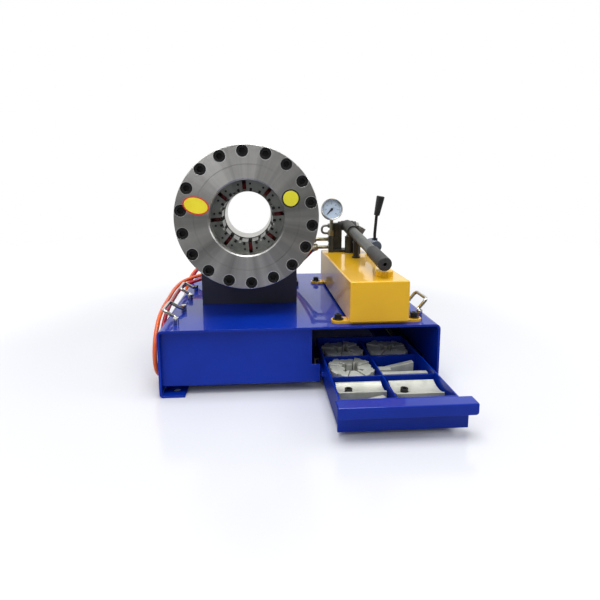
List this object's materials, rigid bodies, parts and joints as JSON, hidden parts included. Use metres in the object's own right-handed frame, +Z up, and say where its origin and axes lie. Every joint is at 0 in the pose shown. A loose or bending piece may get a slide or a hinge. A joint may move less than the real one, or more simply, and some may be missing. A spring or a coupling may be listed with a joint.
{
  "type": "hose crimping machine",
  "caption": "Hand-operated hydraulic hose crimper: round head with sliding die shoes and cone piston, lever pump and die drawer on a bent sheet base.",
  "frame": {"origin": "centre of the four foot holes, on the floor plane", "axes": "+X to the operator's right, +Y away from the operator along the head axis, +Z up"},
  "size_m": [0.6471, 0.762, 0.549],
  "materials": {
    "blue_paint": "gloss",
    "black_block": "satin",
    "brushed_steel": "brushed",
    "black_bolt": "oxide",
    "chrome": "polished",
    "shoe_steel": "ground",
    "bore_steel": "ground",
    "spring_red": "satin",
    "yellow_paint": "gloss",
    "dark_cast": "cast",
    "dark_tube": "satin",
    "black_rubber": "matte",
    "black_plastic": "matte",
    "yellow_plastic": "gloss",
    "zinc": "plated",
    "plain_steel": "ground",
    "die_steel": "ground",
    "dial_white": "matte",
    "needle_black": "matte",
    "clear_glass": "clear",
    "orange_hose": "satin",
    "crimson_hose": "satin",
    "valve_grey": "satin"
  },
  "bodies": {
    "frame": {"base_frame": "blue_paint", "front_panel": "blue_paint", "rear_panel": "blue_paint", "bay_wall": "blue_paint", "drawer_rails": "zinc", "handle_posts": "chrome", "head_support": "black_block", "support_bolts": "black_bolt", "head_cylinder": "brushed_steel", "front_cover": "brushed_steel", "cover_bolts": "black_bolt", "rear_sleeve": "bore_steel", "shoe_springs": "spring_red", "hose_fittings": "zinc", "hose_orange": "orange_hose", "hose_crimson": "crimson_hose", "pump_tank": "yellow_paint", "tank_feet": "yellow_paint", "tank_bolts": "black_bolt", "lever_rest": "black_plastic", "pump_casting": "dark_cast", "pivot_pin": "plain_steel", "steel_pipe": "plain_steel", "valve_body": "valve_grey", "gauge_stem": "zinc", "gauge_case": "chrome", "gauge_dial": "dial_white", "gauge_glass": "clear_glass"},
    "drawer": {"drawer_tray": "blue_paint", "drawer_front": "blue_paint", "drawer_dividers": "blue_paint", "die_set_a": "die_steel", "die_set_b": "die_steel", "die_set_c": "die_steel", "long_dies": "die_steel", "adapter_dies": "die_steel", "adapter_screws": "black_bolt"},
    "piston": {"cone_piston": "shoe_steel"},
    "front_left_bail": {"handle_front_left": "chrome"},
    "rear_left_bail": {"handle_rear_left": "chrome"},
    "front_right_bail": {"handle_front_right": "chrome"},
    "rear_right_bail": {"handle_rear_right": "chrome"},
    "pump_lever": {"lever_socket": "dark_cast", "lever_tube": "dark_tube", "lever_grip": "black_rubber"},
    "plunger": {"pump_plunger": "plain_steel"},
    "release": {"release_knob": "plain_steel"},
    "lock": {"lock_screw": "black_bolt"},
    "valve_handle": {"valve_lever": "black_bolt", "valve_grip": "black_plastic"},
    "needle": {"gauge_needle": "needle_black"},
    "cap": {"filler_cap": "yellow_plastic"},
    "shoe_1": {"die_shoe_1": "shoe_steel"},
    "shoe_2": {"die_shoe_2": "shoe_steel"},
    "shoe_3": {"die_shoe_3": "shoe_steel"},
    "shoe_4": {"die_shoe_4": "shoe_steel"},
    "shoe_5": {"die_shoe_5": "shoe_steel"},
    "shoe_6": {"die_shoe_6": "shoe_steel"},
    "shoe_7": {"die_shoe_7": "shoe_steel"},
    "shoe_8": {"die_shoe_8": "shoe_steel"}
  },
  "joints": [
    {"name": "drawer_slide", "type": "slide", "parent": "frame", "child": "drawer", "axis": [0, 1, 0], "range_m": [0, 0.168]},
    {"name": "piston_slide", "type": "slide", "parent": "frame", "child": "piston", "axis": [0, -1, 0], "range_m": [0, 0.03], "deforming": ["shoe_springs"]},
    {"name": "shoe_1_slide", "type": "slide", "parent": "frame", "child": "shoe_1", "axis": [-0.887, 0, -0.4617], "range_m": [0, 0.0105]},
    {"name": "shoe_2_slide", "type": "slide", "parent": "frame", "child": "shoe_2", "axis": [-0.3007, 0, -0.9537], "range_m": [0, 0.0105]},
    {"name": "shoe_3_slide", "type": "slide", "parent": "frame", "child": "shoe_3", "axis": [0.4617, 0, -0.887], "range_m": [0, 0.0105]},
    {"name": "shoe_4_slide", "type": "slide", "parent": "frame", "child": "shoe_4", "axis": [0.9537, 0, -0.3007], "range_m": [0, 0.0105]},
    {"name": "shoe_5_slide", "type": "slide", "parent": "frame", "child": "shoe_5", "axis": [0.887, 0, 0.4617], "range_m": [0, 0.0105]},
    {"name": "shoe_6_slide", "type": "slide", "parent": "frame", "child": "shoe_6", "axis": [0.3007, 0, 0.9537], "range_m": [0, 0.0105]},
    {"name": "shoe_7_slide", "type": "slide", "parent": "frame", "child": "shoe_7", "axis": [-0.4617, 0, 0.887], "range_m": [0, 0.0105]},
    {"name": "shoe_8_slide", "type": "slide", "parent": "frame", "child": "shoe_8", "axis": [-0.9537, 0, 0.3007], "range_m": [0, 0.0105]},
    {"name": "front_left_bail_hinge", "type": "hinge", "parent": "frame", "child": "front_left_bail", "pos_m": [-0.277, -0.185, 0.161], "axis": [0, 1, 0], "range_deg": [0, 110]},
    {"name": "rear_left_bail_hinge", "type": "hinge", "parent": "frame", "child": "rear_left_bail", "pos_m": [-0.277, 0.022, 0.161], "axis": [0, 1, 0], "range_deg": [0, 110]},
    {"name": "front_right_bail_hinge", "type": "hinge", "parent": "frame", "child": "front_right_bail", "pos_m": [0.284, -0.17, 0.161], "axis": [0, -1, 0], "range_deg": [0, 75]},
    {"name": "rear_right_bail_hinge", "type": "hinge", "parent": "frame", "child": "rear_right_bail", "pos_m": [0.284, 0.112, 0.161], "axis": [0, -1, 0], "range_deg": [0, 75]},
    {"name": "lever_hinge", "type": "hinge", "parent": "frame", "child": "pump_lever", "pos_m": [0.187, 0.158, 0.33], "axis": [-1, 0, 0], "range_deg": [0, 60]},
    {"name": "plunger_slide", "type": "slide", "parent": "frame", "child": "plunger", "axis": [0, 0, 1], "range_m": [0, 0.0232]},
    {"name": "release_turn", "type": "hinge", "parent": "frame", "child": "release", "pos_m": [0.203, 0.108, 0.292], "axis": [0.5001, -0.1, 0.8602], "range_deg": [0, 180]},
    {"name": "lock_screw_turn", "type": "hinge", "parent": "frame", "child": "lock", "pos_m": [0.216, 0.102, 0.284], "axis": [1, 0, 0], "range_deg": [0, 180]},
    {"name": "valve_hinge", "type": "hinge", "parent": "frame", "child": "valve_handle", "pos_m": [0.266, 0.12, 0.28], "axis": [1, 0, 0], "range_deg": [-20, 20]},
    {"name": "needle_hinge", "type": "hinge", "parent": "frame", "child": "needle", "pos_m": [0.134, 0.134, 0.382], "axis": [0, 0.9781, -0.2079], "range_deg": [0, 270]},
    {"name": "filler_cap_turn", "type": "hinge", "parent": "frame", "child": "cap", "pos_m": [0.199, -0.218, 0.25], "axis": [0, 0, 1], "range_deg": [0, 180]}
  ],
  "couplings": [
    {"joint": "shoe_1_slide", "follows": "piston_slide", "ratio": 0.35},
    {"joint": "shoe_2_slide", "follows": "piston_slide", "ratio": 0.35},
    {"joint": "shoe_3_slide", "follows": "piston_slide", "ratio": 0.35},
    {"joint": "shoe_4_slide", "follows": "piston_slide", "ratio": 0.35},
    {"joint": "shoe_5_slide", "follows": "piston_slide", "ratio": 0.35},
    {"joint": "shoe_6_slide", "follows": "piston_slide", "ratio": 0.35},
    {"joint": "shoe_7_slide", "follows": "piston_slide", "ratio": 0.35},
    {"joint": "shoe_8_slide", "follows": "piston_slide", "ratio": 0.35},
    {"joint": "plunger_slide", "follows": "lever_hinge", "m_per_rad": 0.022}
  ]
}
